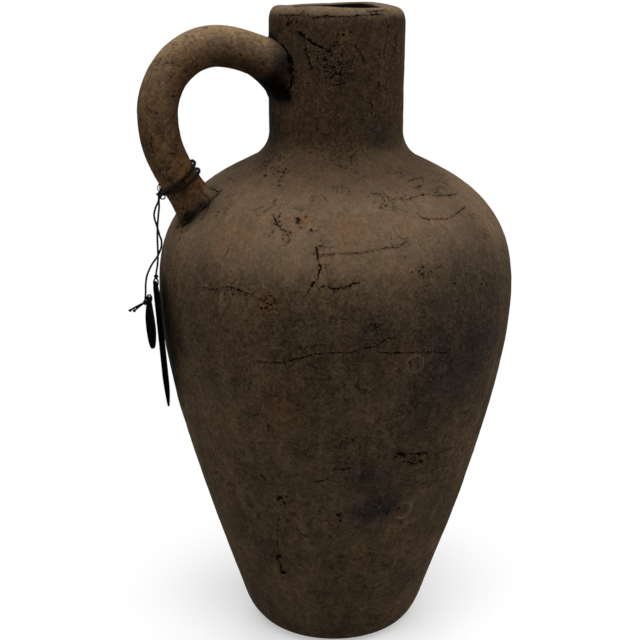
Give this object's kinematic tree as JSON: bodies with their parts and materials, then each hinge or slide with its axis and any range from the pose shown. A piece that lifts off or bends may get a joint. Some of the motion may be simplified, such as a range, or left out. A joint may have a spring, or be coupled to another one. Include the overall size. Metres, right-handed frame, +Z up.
{
  "type": "jug vase",
  "caption": "Round-bellied earthenware jug vase with a plain neck, thick rim and loop handle, holding stems or water, with plain tags hanging on a cord from the handle's foot.",
  "frame": {"origin": "middle of the flat foot that the jug stands on", "axes": "+Z up along the vessel's axis; the handle stands out along -X, in the plane of X and Z"},
  "size_m": [0.2454, 0.2228, 0.4],
  "materials": {
    "clay": "matte",
    "cord": "matte",
    "tag": "satin"
  },
  "bodies": {
    "jug": {"base_slab": "clay", "foot_wall": "clay", "belly_wall": "clay", "belly_course": "clay", "shoulder_wall": "clay", "neck": "clay", "rim_coil": "clay", "handle": "clay", "handle_head_lute": "clay", "handle_foot_lute": "clay", "cord_wrap": "cord", "cord_knot": "cord"},
    "hanging_cord": {"oval_tag_cord": "cord", "oval_tag_knot": "cord", "long_tag_cord": "cord", "long_tag_knot": "cord"},
    "oval_tag": {"oval_tag": "tag"},
    "long_tag": {"long_tag": "tag"}
  },
  "joints": [
    {"name": "cord_swing", "type": "hinge", "parent": "jug", "child": "hanging_cord", "pos_m": [-0.11269, 0, 0.29182], "axis": [0, 1, 0], "range_deg": [0, 75]},
    {"name": "oval_tag_swing", "type": "hinge", "parent": "hanging_cord", "child": "oval_tag", "pos_m": [-0.1201, 0, 0.2266], "axis": [0.9998, 0, 0.0209], "range_deg": [-40, 40]},
    {"name": "long_tag_swing", "type": "hinge", "parent": "hanging_cord", "child": "long_tag", "pos_m": [-0.1159, 0, 0.236], "axis": [0.9982, 0, 0.0593], "range_deg": [-35, 35]}
  ]
}
